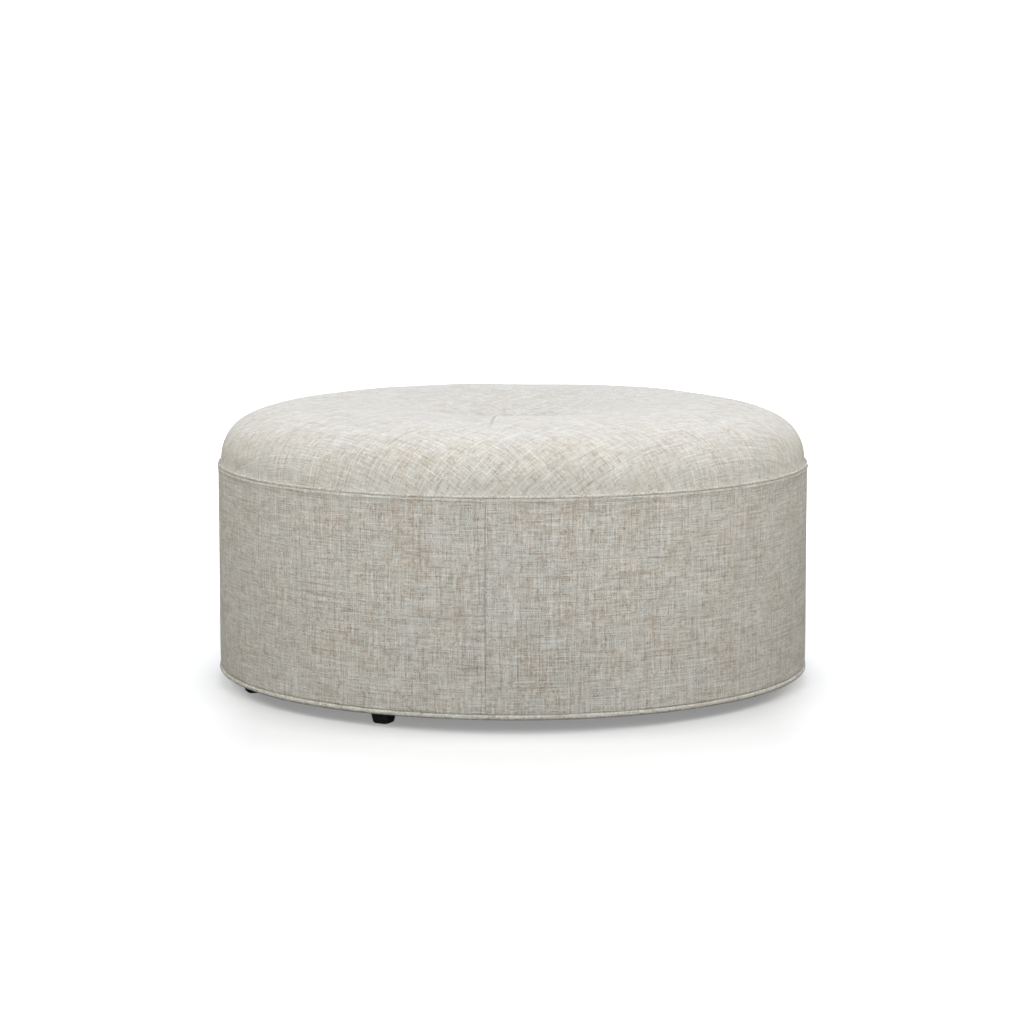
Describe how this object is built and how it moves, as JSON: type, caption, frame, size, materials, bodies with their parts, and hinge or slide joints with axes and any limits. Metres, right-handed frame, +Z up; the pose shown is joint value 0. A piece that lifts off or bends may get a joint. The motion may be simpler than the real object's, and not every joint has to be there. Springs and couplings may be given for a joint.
{
  "type": "ottoman",
  "caption": "Round drum ottoman with a domed cushion top tufted in the middle, cloth band, piped edges and low black block feet.",
  "frame": {"origin": "centre of the drum's footprint, on the floor under the outer feet", "axes": "+Z up along the drum's axis, front towards -Y, +X to the right seen from the front"},
  "size_m": [0.9169, 0.917, 0.4318],
  "materials": {
    "upholstery_cloth": "slubby linen-look weave, matt",
    "foam": "open-cell upholstery foam and fibre wrap",
    "plywood": "unfinished plywood, cut edges",
    "bending_board": "thin bending board, unfinished",
    "dust_cloth": "thin black non-woven cloth",
    "foot_plastic": "black moulded plastic, satin",
    "twine": "waxed tufting twine"
  },
  "bodies": {
    "root": {"crown_cover": "upholstery_cloth", "band_panel_right": "upholstery_cloth", "band_panel_rear": "upholstery_cloth", "band_panel_left": "upholstery_cloth", "top_welt": "upholstery_cloth", "bottom_welt": "upholstery_cloth", "tuft_button": "upholstery_cloth", "crown_foam": "foam", "side_padding": "foam", "deck_panel": "plywood", "base_panel": "plywood", "side_board_left": "bending_board", "side_board_right": "bending_board", "dust_cover": "dust_cloth", "tuft_anchor": "plywood", "tuft_twine": "twine", "frame_rib_1": "plywood", "frame_rib_2": "plywood", "frame_rib_3": "plywood", "frame_rib_4": "plywood", "frame_rib_5": "plywood", "frame_rib_6": "plywood", "frame_rib_7": "plywood", "frame_rib_8": "plywood", "foot_left_front": "foot_plastic", "foot_left_rear": "foot_plastic", "foot_right_rear": "foot_plastic", "foot_rear": "foot_plastic", "foot_middle_right": "foot_plastic", "foot_middle_left": "foot_plastic"}
  },
  "joints": []
}
